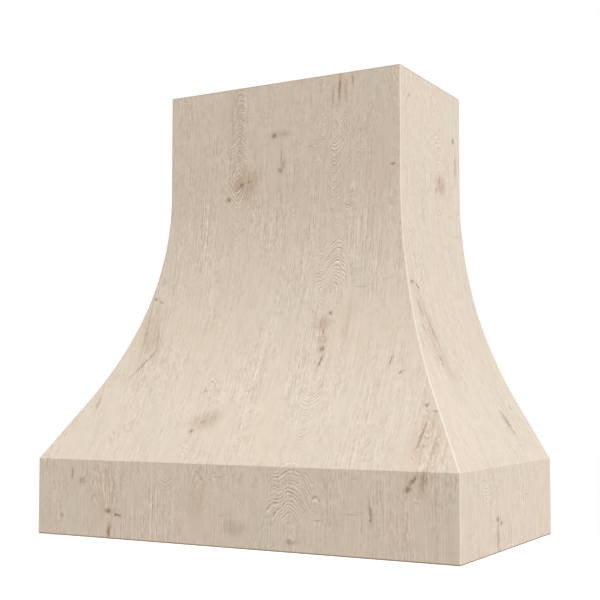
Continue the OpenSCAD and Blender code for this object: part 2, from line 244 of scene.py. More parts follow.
def side_outline(sizes, step, hand):
    """Outline of a side board at one step: hand is 1 at the right and -1 at the left."""
    outer_x = plan_size(sizes, step.flare)[0] - step.set_in
    half_width, depth = plan_size(sizes, step.inner_flare)
    points = corner_round(sizes, step, 45, 90)
    points.append(Vector((outer_x, 0, step.height)))
    points.append(Vector((half_width, 0, step.inner_height)))
    points.append(Vector((half_width, -depth, step.inner_height)))
    for point in points:
        point.x *= hand
    return points


def grow_board(bm, outlines, alongs, reaches):
    """Extrudes the first outline through the others, and notes the place of each point on it."""
    along_layer = bm.verts.layers.float.new("along")
    reach_layer = bm.verts.layers.float.new("reach")
    ring = [bm.verts.new(point) for point in outlines[0]]
    cap = bm.faces.new(ring)
    for number, outline in enumerate(outlines):
        if number:
            grown = bmesh.ops.extrude_face_region(bm, geom=[cap])["geom"]
            fresh = {item for item in grown if isinstance(item, bmesh.types.BMVert)}
            if number > 1:
                bmesh.ops.delete(bm, geom=[cap], context="FACES_ONLY")
            cap = next(item for item in grown if isinstance(item, bmesh.types.BMFace))
            ring = [
                next(e.other_vert(v) for e in v.link_edges if e.other_vert(v) in fresh)
                for v in ring
            ]
        for vert, point in zip(ring, outline):
            vert.co = point
            vert[along_layer] = alongs[number]
            vert[reach_layer] = reaches[number]
    bmesh.ops.recalc_face_normals(bm, faces=bm.faces[:])
    bm.normal_update()


# How squarely a face has to look along the mitre's axis to be a mitre.
MITRE_SQUARE = 0.99

# The blind grooves for the splines, in metres: how far the mitre's face is set in before one
# is sunk, half its width, its depth, and the room past each end of the spline.
GROOVE_INSET = 0.004
GROOVE_HALF_WIDTH = 0.0021
GROOVE_DEPTH = 0.0062
GROOVE_END_ROOM = 0.0005


def cut_spline_groove(bm, hand):
    """Sinks the blind groove for the glued spline into the mitre at one end."""
    out = Vector((hand, -1, 0)).normalized()
    across = Vector((hand, 1, 0)).normalized()
    mitres = [f for f in bm.faces if abs(f.normal.dot(across)) > MITRE_SQUARE]
    mitres = [f for f in mitres if f.calc_center_median().x * hand > 0]
    mitre = max(mitres, key=lambda f: f.calc_area())
    bmesh.ops.inset_individual(bm, faces=[mitre], thickness=GROOVE_INSET)
    middle = (SPLINE_LOW + SPLINE_HIGH) / 2
    middle.x *= hand
    low, high = SPLINE_LOW.z - GROOVE_END_ROOM, SPLINE_HIGH.z + GROOVE_END_ROOM
    middle_height = mitre.calc_center_median().z
    middle_out = mitre.calc_center_median().dot(out)
    for vert in mitre.verts:
        outward = GROOVE_HALF_WIDTH if vert.co.dot(out) > middle_out else -GROOVE_HALF_WIDTH
        place = middle + out * outward
        place.z = high if vert.co.z > middle_height else low
        vert.co = place
    inward = -mitre.normal.copy() * GROOVE_DEPTH
    grown = bmesh.ops.extrude_face_region(bm, geom=[mitre])["geom"]
    verts = [item for item in grown if isinstance(item, bmesh.types.BMVert)]
    bmesh.ops.delete(bm, geom=[mitre], context="FACES_ONLY")
    bmesh.ops.translate(bm, verts=verts, vec=inward)
    bmesh.ops.recalc_face_normals(bm, faces=bm.faces[:])
    bm.normal_update()


# Places of a board's materials on its object, and how squarely a face has to look outward,
# inward or down to get the first or the last of them.
OUTER, CUT_EDGE, INNER = 0, 1, 2
LOOKS_OUT, LOOKS_IN, LOOKS_DOWN = 0.3, 0.8, 0.5


def sort_faces(bm, outward, cut_above):
    """Gives the outer face, the cut edges and the inner face of a board their materials."""
    for face in bm.faces:
        facing = face.normal.dot(outward)
        looks_down = face.normal.z <= -LOOKS_DOWN
        above = face.calc_center_median().z > cut_above
        if facing > LOOKS_OUT:
            face.material_index = OUTER
        elif facing < -LOOKS_IN:
            face.material_index = INNER
        elif looks_down and not above:
            face.material_index = OUTER
        else:
            face.material_index = CUT_EDGE


# Edges that turn more than this stay sharp.
SHARP_ANGLE = math.radians(35)


def board_object(bm, name, node, materials):
    """Makes a finished board from the mesh, in place of its CAD node."""
    if any(len(edge.link_faces) != 2 for edge in bm.edges):
        raise RuntimeError(f"{name} is not a closed board")
    mesh = bpy.data.meshes.new(name)
    bm.to_mesh(mesh)
    bm.free()
    for material in materials:
        mesh.materials.append(material)
    mesh.shade_smooth()
    mesh.set_sharp_from_angle(angle=SHARP_ANGLE)
    board = bpy.data.objects.new(name, mesh)
    bpy.context.scene.collection.objects.link(board)
    smooth = board.modifiers.new("Flat Faces", "WEIGHTED_NORMAL")
    smooth.keep_sharp = True
    smooth.weight = 100
    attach(board, "cover")
    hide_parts(node)
    return board


# ---- Shader helpers ----


class Graph:
    """Adds nodes to one tree, laid out in columns, and joins them."""

    def __init__(self, tree):
        self.tree = tree
        self.count = 0

    def add(self, kind, *values, **settings):
        """A new node with its settings, and with values for its first inputs."""
        node = self.tree.nodes.new(kind)
        node.location = (220 * (self.count // 5), -190 * (self.count % 5))
        self.count += 1
        for name, value in settings.items():
            setattr(node, name, value)
        for socket, value in zip(node.inputs, values):
            self.put(socket, value)
        return node

    def put(self, socket, value):
        if isinstance(value, bpy.types.NodeSocket):
            self.tree.links.new(value, socket)
        else:
            socket.default_value = value

    def fill(self, node, **values):
        """The node, with values for the inputs of those names."""
        for name, value in values.items():
            self.put(node.inputs[name], value)
        return node

    def math(self, operation, *values, clamp=False):
        return self.add("ShaderNodeMath", *values, operation=operation, use_clamp=clamp).outputs[0]

    def weighted(self, total, outputs, weights):
        """Adds the named outputs, each times its weight, to the total."""
        for name, weight in weights:
            total = self.math("MULTIPLY_ADD", outputs[name], weight, total)
        return total

    def vector(self, operation, *values):
        outputs = self.add("ShaderNodeVectorMath", *values, operation=operation).outputs
        return outputs["Value" if operation in ("LENGTH", "DOT_PRODUCT") else "Vector"]

    def fade(self, *values):
        """A smooth step of a value: value, start, end, and what is given there: 0 and 1."""
        return self.add("ShaderNodeMapRange", *values, interpolation_type="SMOOTHSTEP").outputs[0]

    def stretch(self, *values):
        """A straight rescale, held at both ends, with its values in the same order."""
        return self.add("ShaderNodeMapRange", *values, interpolation_type="LINEAR").outputs[0]

    def noise_node(self, place, scale, detail, rough, offset, flat):
        mapping = self.add("ShaderNodeMapping")
        self.fill(mapping, Vector=place, Location=offset, Scale=scale)
        node = self.add("ShaderNodeTexNoise", noise_dimensions="2D" if flat else "3D")
        moved = mapping.outputs[0]
        return self.fill(node, Vector=moved, Scale=1.0, Detail=detail, Roughness=rough)

    def noise(self, place, scale, detail=2.0, rough=0.5, offset=(0, 0, 0), flat=True):
        """Noise from 0 to 1, with a scale of its own along each axis, per metre."""
        return self.noise_node(place, scale, detail, rough, offset, flat).outputs[0]

    def shift(self, place, scale, size, detail=2.0, offset=(0, 0, 0), flat=True):
        """A shift that wanders with noise, up to half of size either way."""
        node = self.noise_node(place, scale, detail, 0.5, offset, flat)
        centred = self.vector("SUBTRACT", node.outputs["Color"], (0.5, 0.5, 0.5))
        return self.vector("MULTIPLY", centred, size)

    def mix(self, factor, first, second):
        node = self.add("ShaderNodeMix", data_type="RGBA")
        return self.fill(node, Factor=factor, A=shade(first), B=shade(second)).outputs["Result"]

    def group(self, tree, **values):
        return self.fill(self.add("ShaderNodeGroup", node_tree=tree), **values).outputs

    def coated(self, colour, roughness, height, relief, metallic=0.0):
        """Ends in a plain shader, with bump of the given strength and distance."""
        bump = self.add("ShaderNodeBump")
        self.fill(bump, Strength=relief[0], Distance=relief[1], Height=height)
        surface = self.add("ShaderNodeBsdfPrincipled")
        self.put(surface.inputs["Base Color"], colour)
        self.fill(surface, Roughness=roughness, Normal=bump.outputs[0], Metallic=metallic)
        self.end_with(surface)

    def end_with(self, shader, kind="ShaderNodeOutputMaterial"):
        self.add(kind, shader.outputs[0])


def empty_graph(owner):
    """An empty node tree on a new material or world, ready for its nodes."""
    owner.use_nodes = True
    owner.node_tree.nodes.clear()
    return Graph(owner.node_tree)


def shade(value):
    """A colour with its fourth number, or the socket as it is."""
    if isinstance(value, bpy.types.NodeSocket) or len(value) == 4:
        return value
    return (*value, 1.0)


FLOAT, VECTOR, COLOUR = "NodeSocketFloat", "NodeSocketVector", "NodeSocketColor"


def new_group(name, inputs, outputs):
    """A shader node group with named sockets: returns its tree, graph, inputs and outputs."""
    tree = bpy.data.node_groups.new(name, "ShaderNodeTree")
    for way, sockets in (("INPUT", inputs), ("OUTPUT", outputs)):
        for socket, kind in sockets.items():
            tree.interface.new_socket(socket, in_out=way, socket_type=kind)
    graph = Graph(tree)
    given = graph.add("NodeGroupInput").outputs
    wanted = graph.add("NodeGroupOutput").inputs
    return tree, graph, given, wanted


def once(name, build):
    """The node group of that name, built the first time it is asked for."""
    return bpy.data.node_groups.get(name) or build(name)


# ---- Node groups of the oak ----


def build_wander(name):
    """Bends straight grain so that it wanders as it climbs."""
    tree, graph, given, wanted = new_group(
        name, {"Place": VECTOR, "Seed": VECTOR}, {"Place": VECTOR}
    )
    moved = graph.vector("ADD", given["Place"], given["Seed"])
    slow = graph.shift(moved, (4.5, 1.7, 1), (0.030, 0.01, 0), detail=1)
    quick = graph.shift(moved, (30, 11, 1), (0.0040, 0.006, 0))
    bent = graph.vector("ADD", given["Place"], slow)
    graph.put(wanted["Place"], graph.vector("ADD", bent, quick))
    return tree


# Rounds off the middle of an eye: the square of about 3 mm, in square metres.
EYE_MIDDLE = 0.00001


def build_eye(name):
    """Growth rings counted outwards from one eye of the figure."""
    tree, graph, given, wanted = new_group(
        name,
        {"Place": VECTOR, "Centre": VECTOR}
        | dict.fromkeys(("Uneven", "Lean", "Rise", "Round"), FLOAT),
        {"Rings": FLOAT},
    )
    apart = graph.vector("SUBTRACT", given["Place"], given["Centre"])
    powers = []
    for axis, step in (((1, 0, 0), "Lean"), ((0, 1, 0), "Rise")):
        far = graph.vector("DOT_PRODUCT", apart, axis)
        far = graph.math("SQRT", graph.math("MULTIPLY_ADD", far, far, EYE_MIDDLE))
        counted = graph.math("DIVIDE", far, given[step])
        if step == "Lean":
            counted = graph.math("MULTIPLY", counted, given["Uneven"])
        powers.append(graph.math("POWER", counted, given["Round"]))
    total = graph.math("ADD", *powers)
    rings = graph.math("POWER", total, graph.math("DIVIDE", 1.0, given["Round"]))
    graph.put(wanted["Rings"], rings)
    return tree


def oval_axes(wide, high, turn=0.0):
    """The two axes of a turned oval, each over its half size, for the dot products below."""
    angle = math.radians(turn)
    side = (math.cos(angle) / (wide * MM), math.sin(angle) / (wide * MM), 0)
    up = (-math.sin(angle) / (high * MM), math.cos(angle) / (high * MM), 0)
    return side, up


def far_from_oval(graph, given):
    """Distance from the middle of an oval, counted so that its rim is at 1."""
    apart = graph.vector("SUBTRACT", given["Place"], given["Centre"])
    across = graph.vector("DOT_PRODUCT", apart, given["Side"])
    upward = graph.vector("DOT_PRODUCT", apart, given["Up"])
    square = graph.math("MULTIPLY", across, across)
    return graph.math("SQRT", graph.math("MULTIPLY_ADD", upward, upward, square))


OVAL_INPUTS = dict.fromkeys(("Place", "Centre", "Side", "Up"), VECTOR)


def build_patch(name):
    """A soft oval patch where the figure shows plainly."""
    tree, graph, given, wanted = new_group(name, OVAL_INPUTS, {"Show": FLOAT})
    graph.put(wanted["Show"], graph.fade(far_from_oval(graph, given), 1.4, 0.5))
    return tree


def build_ring_lines(name):
    """Turns a count of growth rings into a pale limed line with a dark line beside it."""
    tree, graph, given, wanted = new_group(
        name,
        {"Rings": FLOAT, "Place": VECTOR, "Unrest": FLOAT},
        {"Pale": FLOAT, "Dark": FLOAT},
    )
    sway = graph.noise(given["Place"], (24, 13, 1), detail=1, offset=(5.1, 3.7, 0))
    wobble = graph.noise(given["Place"], (95, 48, 1), offset=(3.1, 0.7, 0))
    stray = graph.math("MULTIPLY_ADD", sway, 1.6, graph.math("MULTIPLY", wobble, 0.8))
    counted = graph.math("MULTIPLY_ADD", stray, given["Unrest"], given["Rings"])
    years = graph.add("ShaderNodeTexNoise", noise_dimensions="1D")
    graph.fill(years, W=counted, Scale=0.6, Detail=1.0)
    counted = graph.math("MULTIPLY_ADD", years.outputs[0], 1.3, counted)
    part = graph.math("FRACT", counted)
    year = graph.add("ShaderNodeTexWhiteNoise", noise_dimensions="1D")
    graph.fill(year, W=graph.math("FLOOR", counted))
    bold = graph.stretch(year.outputs["Value"], 0.0, 1.0, 0.4, 1.15)
    broken = graph.noise(given["Place"], (120, 60, 1), offset=(0.3, 5.7, 0))
    strength = graph.math("MULTIPLY", graph.stretch(broken, 0.36, 0.6, 0.15, 1.1), bold)
    for line, middle, width in (("Pale", 0.30, 0.22), ("Dark", 0.68, 0.24)):
        near = graph.math("ABSOLUTE", graph.math("SUBTRACT", part, middle))
        shown = graph.math("MULTIPLY", graph.fade(near, width, 0.03), strength)
        graph.put(wanted[line], shown)
    return tree


def build_knot(name):
    """A small knot or streak: a dark core, open or closed, in a wider smear."""
    tree, graph, given, wanted = new_group(
        name,
        OVAL_INPUTS | dict.fromkeys(("Core", "Smear", "Hollow"), FLOAT),
        {"Core": FLOAT, "Smear": FLOAT},
    )
    far = far_from_oval(graph, given)
    middle = graph.math("MULTIPLY", graph.fade(far, 0.8, 0.35), given["Hollow"])
    core = graph.math("SUBTRACT", graph.fade(far, 1.15, 0.45), middle)
    smear = graph.fade(far, 2.6, 0.5)
    graph.put(wanted["Core"], graph.math("MULTIPLY", core, given["Core"]))
    graph.put(wanted["Smear"], graph.math("MULTIPLY", smear, given["Smear"]))
    return tree


# The noises of the grain: scale across and along, detail and roughness, offset, and whether
# they come and go between busy and calm places.
Pore = namedtuple("Pore", "name scale detail rough offset patchy")

PORES = (
    Pore("Strokes", (300, 15, 1), 2.5, 0.6, (0, 0, 0), True),
    Pore("Short", (420, 60, 1), 1.5, 0.5, (2.2, 9.1, 0), True),
    Pore("Specks", (230, 105, 1), 1, 0.5, (8.8, 4.4, 0), True),
    Pore("Stripes", (115, 5, 1), 3, 0.62, (1.3, 0, 0), True),
    Pore("Mottle", (62, 28, 1), 3, 0.6, (5.3, 6.1, 0), False),
    Pore("Clouds", (17, 6, 1), 3, 0.6, (0, 7.7, 0), False),
    Pore("Tint", (11, 4.2, 1), 3, 0.6, (4.4, 2.1, 0), False),
)


def build_pores(name):
    """Fine upright grain from -1 to 1: strokes, specks, soft stripes, mottle and broad clouds."""
    outputs = {pore.name: FLOAT for pore in PORES}
    tree, graph, given, wanted = new_group(name, {"Place": VECTOR, "Seed": VECTOR}, outputs)
    moved = graph.vector("ADD", given["Place"], given["Seed"])
    busy = graph.noise(moved, (19, 6.5, 1), rough=0.55, offset=(7.4, 3.3, 0))
    busy = graph.stretch(busy, 0.38, 0.62, 0.25, 1.25)
    for pore in PORES:
        value = graph.noise(moved, pore.scale, pore.detail, pore.rough, pore.offset)
        value = graph.math("MULTIPLY_ADD", value, 2.0, -1.0)
        if pore.patchy:
            value = graph.math("MULTIPLY", value, busy)
        graph.put(wanted[pore.name], value)
    return tree


# ---- Oak materials ----

# Eyes of the growth-ring figure on one face, in millimetres: place across and along, ring
# spacing across and along, and roundness from 1 for pointed to 2 for round.
Eye = namedtuple("Eye", "x along lean rise round")

# Soft patches where the figure shows, in millimetres: middle across and along, half width
# and half length, strength.
Patch = namedtuple("Patch", "x along wide high show")

# Knots and streaks, in millimetres: place across and along, half width and half height,
# turn in degrees, strength of the core and of the smear round it, and how open it is.
Knot = namedtuple("Knot", "x along wide high turn core smear hollow", defaults=(0,))


def each(kind, *rows):
    """One of that kind from each row of numbers."""
    return [kind(*row) for row in rows]


FRONT_EYES = each(
    Eye,
    (-97, 604, 5.2, 7.0, 1.05),
    (122, 700, 5.8, 8.0, 1.05),
    (138, 372, 4.4, 7.6, 1.6),
    (128, 176, 5.4, 7.0, 1.4),
    (132, -112, 6.0, 7.8, 1.45),
    (-66, -64, 6.0, 13.0, 1.4),
    (-92, 152, 4.8, 8.0, 1.2),
    (-302, -150, 6.2, 26.0, 1.5),
    (-140, 6, 6.4, 6.4, 1.2),
    (338, 20, 5.0, 90.0, 1.1),
)

FRONT_PATCHES = each(
    Patch,
    (-98, 710, 24, 100, 1.25),
    (-95, 600, 34, 50, 0.9),
    (-102, 500, 20, 50, 0.8),
    (132, 655, 48, 84, 1.1),
    (78, 664, 12, 16, 1.3),
    (146, 552, 34, 52, 0.95),
    (175, 640, 12, 50, 0.9),
    (28, 565, 10, 60, 0.8),
    (132, 420, 46, 60, 1.25),
    (105, 345, 30, 36, 0.5),
    (126, 144, 36, 46, 0.6),
    (148, 68, 26, 44, 0.55),
    (130, -50, 58, 60, 1.15),
    (-66, -46, 30, 50, 0.55),
    (-138, -30, 34, 26, 0.65),
    (-92, 162, 18, 34, 0.9),
    (-115, 26, 22, 30, 0.4),
    (-274, 50, 24, 36, 0.5),
    (-280, -52, 50, 54, 0.5),
    (388, 60, 32, 80, 0.5),
    (388, -30, 34, 34, 0.45),
)

FRONT_KNOTS = each(
    Knot,
    (-13, 695, 7, 5, 10, 1.0, 0.7),
    (10, 697, 8, 5, 0, 0.2, 0.7),
    (4, 650, 1.5, 18, 0, 0.6, 0.4),
    (2, 622, 5, 4, 0, 0.8, 0.7),
    (9, 634, 2, 8, -15, 0.5, 0.4),
    (-84, 606, 19, 20, 30, 0.0, 1.0),
    (-100, 715, 13, 60, 0, 0.0, 0.45),
    (-90, 600, 11, 4, 40, 0.9, 1.0),
    (-102, 590, 5, 2.5, 45, 0.8, 0.6),
    (-72, 606, 8, 3, 10, 0.6, 0.8),
    (-121, 573, 4, 5, -20, 1.0, 0.8),
    (251, 612, 6, 2, 0, 1.0, 0.4),
    (137, 775, 2.4, 24, -3, 0.7, 0.9),
    (166, 786, 1.8, 12, 0, 0.6, 0.4),
    (150, 768, 2, 16, 4, 0.4, 0.7),
    (122, 758, 2, 14, -4, 0.3, 0.6),
    (-284, 368, 5, 3, 0, 0.9, 0.6),
    (-267, 360, 6, 2.5, -20, 0.7, 0.5),
    (-291, 298, 2.4, 38, 0, 0.45, 0.7),
    (-258, 281, 2.4, 28, 10, 0.5, 0.6),
    (-274, 226, 2.6, 34, -37, 0.6, 0.7),
    (-272, 285, 17, 36, 0, 0.0, 0.5),
    (138, 322, 4, 4, 0, 0.9, 0.5),
    (124, 302, 10, 9, 0, 0.1, 0.9),
    (129, 285, 3, 10, -10, 0.7, 0.6),
    (132, 268, 9, 8, 0, 0.6, 0.6, 1),
    (133, 248, 6, 6, 0, 0.8, 0.8),
    (136, 222, 2.2, 16, -14, 0.9, 0.6),
    (176, 292, 4, 26, -3, 0.0, 0.5),
    (282, 222, 1.8, 12, -14, 1.0, 0.2),
    (305, 197, 6, 3, 30, 0.9, 0.4),
    (-87, 90, 8, 3, 25, 0.6, 0.9),
    (-80, 94, 20, 11, 20, 0.0, 0.8),
    (-106, 70, 5, 4, 0, 1.0, 0.6),
    (-104, 159, 5, 3, 0, 0.5, 0.4),
    (-360, 129, 3, 14, 0, 0.4, 0.5),
    (370, 130, 5, 4, 20, 1.0, 0.7),
    (390, 118, 6, 2.5, -10, 0.8, 0.4),
    (374, 72, 3, 30, -8, 0.8, 0.7),
    (402, 48, 3, 26, -4, 0.4, 0.7),
    (388, 62, 20, 56, -6, 0.0, 0.35),
    (372, -16, 10, 3.5, 50, 1.0, 0.8),
    (362, -30, 5, 7, -20, 0.9, 0.8),
    (392, -14, 5, 16, -10, 0.3, 0.9),
    (-369, -27, 2.4, 10, 0, 1.0, 0.4),
    (-344, -42, 6, 6, 0, 1.0, 0.5, 0.8),
    (-395, -112, 5, 3, -20, 0.4, 0.3),
    (-278, -98, 8, 5, 0, 1.0, 0.8),
    (-256, -105, 11, 3.0, -10, 1.0, 0.5),
    (-276, -138, 4, 12, -8, 0.9, 0.9),
    (-284, -70, 22, 34, 0, 0.0, 0.3),
    (-70, -60, 16, 26, 0, 0.0, 0.3),
    (293, -76, 2.4, 20, 6, 0.8, 0.6),
    (134, -133, 8, 4, 0, 0.8, 0.6, 0.6),
    (14, -114, 16, 9, 0, 0.0, 0.6),
)

# Short cross marks, in millimetres: place across and along, half length.
FRONT_MARKS = (
    (47, 672, 5),
    (1, 565, 6),
    (250, 388, 9),
    (198, 374, 20),
    (-6, 159, 8),
    (13, 113, 7),
    (-70, -15, 8),
    (-20, -23, 16),
    (-13, -94, 9),
    (255, -78, 18),
    (190, -92, 14),
    (262, -16, 9),
    (70, 664, 9),
)

SIDE_EYES = each(
    Eye,
    (-118, 596, 6.0, 7.4, 1.05),
    (-120, 76, 4.4, 9.0, 1.2),
    (-372, -10, 9.0, 6.0, 1.3),
    (-300, 250, 3.6, 16.0, 1.1),
)

SIDE_PATCHES = each(
    Patch,
    (-120, 700, 26, 90, 0.95),
    (-120, 565, 30, 60, 0.6),
    (-300, 260, 30, 70, 0.6),
    (-368, -30, 44, 34, 0.7),
    (-120, 80, 36, 60, 0.7),
)

SIDE_KNOTS = each(
    Knot,
    (-313, 381, 6, 5, 20, 1.0, 0.5),
    (-292, 373, 4, 8, 25, 0.8, 0.4),
    (-311, 330, 2.5, 18, 4, 0.8, 0.6),
    (-286, 282, 3, 46, 3, 0.7, 0.8),
    (-322, 288, 3, 10, 0, 0.5, 0.5),
    (-296, 270, 16, 62, 3, 0.0, 0.55),
    (-302, 222, 4, 12, 0, 0.8, 0.6),
    (-127, 90, 7, 14, 6, 0.6, 1.0),
    (-120, 66, 5, 4, 0, 0.8, 0.5),
    (-60, 120, 4, 4, 0, 0.5, 0.4),
    (-313, -93, 7, 5, 0, 1.0, 0.4),
    (-294, -101, 6, 4, 0, 0.9, 0.4),
    (-313, -122, 4, 26, 0, 0.2, 0.8),
    (-109, 600, 16, 12, 0, 0.1, 0.9),
    (-112, 610, 5, 10, 0, 0.6, 0.6),
    (-131, 586, 5, 9, 0, 0.6, 0.5),
    (-38, 704, 5, 7, 0, 0.9, 0.5),
    (-26, 650, 4, 22, 0, 0.3, 0.6),
    (-264, 752, 5, 3, 0, 0.6, 0.3),
)

SIDE_MARKS = ((-60, 540, 14), (-40, 500, 20), (-150, -60, 14))

LEFT_EYES = each(
    Eye,
    (-160, 560, 4.8, 7.4, 1.4),
    (-165, 200, 5.4, 7.0, 1.5),
    (-200, -130, 6.0, 7.0, 1.5),
    (-370, 60, 3.8, 9.0, 1.2),
)

LEFT_PATCHES = each(
    Patch,
    (-160, 660, 40, 90, 0.9),
    (-165, 300, 48, 90, 1.0),
    (-200, -60, 44, 50, 0.9),
    (-370, 40, 40, 80, 0.6),
)

LEFT_KNOTS = each(
    Knot,
    (-60, 650, 5, 3, 0, 0.9, 0.4),
    (-210, 520, 10, 5, 20, 0.7, 0.9),
    (-80, 330, 5, 3, 0, 0.8, 0.4),
    (-300, 210, 8, 7, 0, 0.7, 0.7, 0.8),
    (-290, 180, 2.4, 16, 12, 0.8, 0.6),
    (-180, 40, 5, 3, 0, 0.8, 0.4),
    (-380, -60, 7, 4, 10, 0.9, 0.7),
    (-120, -110, 5, 3, 0, 0.7, 0.4),
    (-250, 420, 2, 22, 12, 0.6, 0.5),
    (-100, 120, 3, 26, -8, 0.5, 0.7),
)

LEFT_MARKS = ((-100, 480, 12), (-230, 120, 14), (-300, -90, 10))

# Half height of a cross mark, in millimetres.
MARK_HALF_HEIGHT = 1.6

# One face of the cover: the object axis that runs across it, its hand (1 right, -1 left, 0
# front), its figure, the seed of its grain, the axis through its boards, a point on its outer
# side, and the hands of the mitres of its apron.
Face = namedtuple("Face", "axis hand eyes patches knots marks seed through start mitres")

FACES = {
    "Front": Face(
        axis=0,
        hand=0,
        eyes=FRONT_EYES,
        patches=FRONT_PATCHES,
        knots=FRONT_KNOTS,
        marks=FRONT_MARKS,
        seed=(0, 0, 0),
        through="Y",
        start=(0, APRON_LOW.y, 0),
        mitres=(1, -1),
    ),
    "Right": Face(
        axis=1,
        hand=1,
        eyes=SIDE_EYES,
        patches=SIDE_PATCHES,
        knots=SIDE_KNOTS,
        marks=SIDE_MARKS,
        seed=(3.7, 1.9, 0),
        through="X",
        start=(APRON_HIGH.x, 0, 0),
        mitres=(1,),
    ),
    "Left": Face(
        axis=1,
        hand=-1,
        eyes=LEFT_EYES,
        patches=LEFT_PATCHES,
        knots=LEFT_KNOTS,
        marks=LEFT_MARKS,
        seed=(8.3, 4.1, 0),
        through="X",
        start=(-APRON_HIGH.x, 0, 0),
        mitres=(-1,),
    ),
}

# Shares of the fine noises, which are calmer in the ring figure and above the belt, and of
# the soft ones.
FINE_SHARES = (("Strokes", 0.45), ("Short", 0.36), ("Specks", 0.34))
SOFT_SHARES = (("Stripes", 0.18), ("Mottle", 0.2))

# Shares of the pale and dark lines, the cross marks and the knots' cores in the colour.
PALE_SHARE = 1.15
DARK_SHARE = 1.05
MARK_SHARE = 0.8
CORE_SHARE = 0.72

# Fades, each with its start and end in metres and what it runs from and to there: where the
# slope above the belt is rubbed calmer, by the length up the surface; the corner line, a painted
# highlight with limed wear at the right and painted shade at the left, by the distance to them;
# and the painted shade along the rim and the top edge, by the height.
RUBBED = (0.48, 0.25, 1.0, 0.8)
CORNER_WEAR_AND_HIGHLIGHT = (0.0028, 0.0010, 0.0, 0.65)
# Painted shade along the bottom rim and the top edge.
RIM_PAINTED_SHADE = (APRON_LOW.z + 0.0034, APRON_LOW.z + 0.0014, 0.0, 0.85)
TOP_PAINTED_SHADE = (SKIN_HIGH.z - 0.0030, SKIN_HIGH.z - 0.0012, 0.0, 0.4)

# How much rougher the dark grain is, the strength of the bump and its distance in metres.
DARK_ROUGHER = 0.12
OAK_BUMP = (0.25, 0.0006)

# A count of rings farther out than any on a face.
FAR_RINGS = 1000.0

# Lines of the plain grain per metre across a face.
PLAIN_PER_METRE = 180


def add_oval(graph, tree, place, x, along, wide, high, turn=0.0, **strengths):
    """One oval on the face, with its place and half sizes in millimetres: its outputs."""
    side, up = oval_axes(wide, high, turn)
    centre = (x * MM, along * MM, 0)
    return graph.group(tree, Place=place, Centre=centre, Side=side, Up=up, **strengths)


def add_knots(graph, place, knots):
    """The cores and smears of all the knots on one face, each as one mask."""
    cores, smears = 0.0, 0.0
    tree = once("Small Knot", build_knot)
    for knot in knots:
        made = add_oval(
            graph, tree, place, *knot[:5], Core=knot.core, Smear=knot.smear, Hollow=knot.hollow
        )
        cores = graph.math("MAXIMUM", cores, made["Core"])
        smears = graph.math("MAXIMUM", smears, made["Smear"])
    return cores, smears


def add_marks(graph, place, marks):
    """Short dark marks across the grain, each with a fainter one beside it."""
    shown = 0.0
    tree = once("Small Knot", build_knot)
    for x, along, half in marks:
        for lift, shift, strength in ((0, 0, 0.9), (4, 0.9 * half, 0.35)):
            oval = (x + shift, along + lift, half, MARK_HALF_HEIGHT)
            made = add_oval(graph, tree, place, *oval, Core=strength, Smear=0.0)
            shown = graph.math("MAXIMUM", shown, made["Core"])
    return shown


def add_rings(graph, place, eyes):
    """Growth rings counted from the nearest eye of the figure."""
    tree = once("Figure Eye", build_eye)
    uneven = graph.noise(place, (26, 9, 1), detail=1, offset=(6.2, 0.4, 0))
    uneven = graph.stretch(uneven, 0.3, 0.7, 0.7, 1.3)
    nearest = FAR_RINGS
    for eye in eyes:
        made = graph.group(
            tree,
            Place=place,
            Centre=(eye.x * MM, eye.along * MM, 0),
            Uneven=uneven,
            Lean=eye.lean * MM,
            Rise=eye.rise * MM,
            Round=eye.round,
        )
        nearest = graph.math("MINIMUM", nearest, made["Rings"])
    return nearest


def add_patches(graph, place, patches):
    """How plainly the figure shows at each place."""
    shown = 0.0
    tree = once("Figure Patch", build_patch)
    for patch in patches:
        made = add_oval(graph, tree, place, *patch[:4])
        strength = graph.math("MULTIPLY", made["Show"], patch.show)
        shown = graph.math("MAXIMUM", shown, strength)
    return shown


def add_lines(graph, place, face, smears):
    """The pale and dark lines of the figure and of the plain grain, and how much is figure."""
    rings = add_rings(graph, place, face.eyes)
    shown = add_patches(graph, place, face.patches)
    shown = graph.math("MULTIPLY", shown, graph.fade(rings, 0.8, 2.6))
    round_knots = graph.math("MULTIPLY_ADD", smears, 2.5, rings)
    ring_lines = once("Ring Lines", build_ring_lines)
    figure = graph.group(ring_lines, Rings=round_knots, Place=place, Unrest=0.9)
    across = graph.vector("DOT_PRODUCT", place, (PLAIN_PER_METRE, 0, 0))
    across = graph.math("MULTIPLY_ADD", smears, 1.5, across)
    plain = graph.group(ring_lines, Rings=across, Place=place, Unrest=0.35)
    patchy = graph.noise(place, (15, 5, 1), offset=(6.3, 2.2, 0))
    plain_show = graph.stretch(patchy, 0.42, 0.7, 0.03, 0.5)
    plain_show = graph.math("MULTIPLY", plain_show, graph.stretch(shown, 0.0, 0.6, 1.0, 0.0))
    lines = []
    for line in ("Pale", "Dark"):
        drawn = graph.math("MULTIPLY", plain[line], plain_show)
        lines.append(graph.math("MULTIPLY_ADD", figure[line], shown, drawn))
    return *lines, shown


def oak_tone(graph, pores, smears, finish):
    """The body of the oak, in cooler and warmer clouds, with the smears round its knots."""
    tint = graph.stretch(pores["Tint"], -0.35, 0.35)
    tone = graph.mix(tint, finish.oak_grey, finish.oak_pink)
    tone = graph.mix(graph.stretch(pores["Clouds"], -0.5, 0.5, 0.1, 0.8), tone, finish.oak)
    streaked = graph.stretch(pores["Strokes"], -0.4, 0.35, 1.0, 0.45)
    return graph.mix(graph.math("MULTIPLY", smears, streaked), tone, finish.smear)


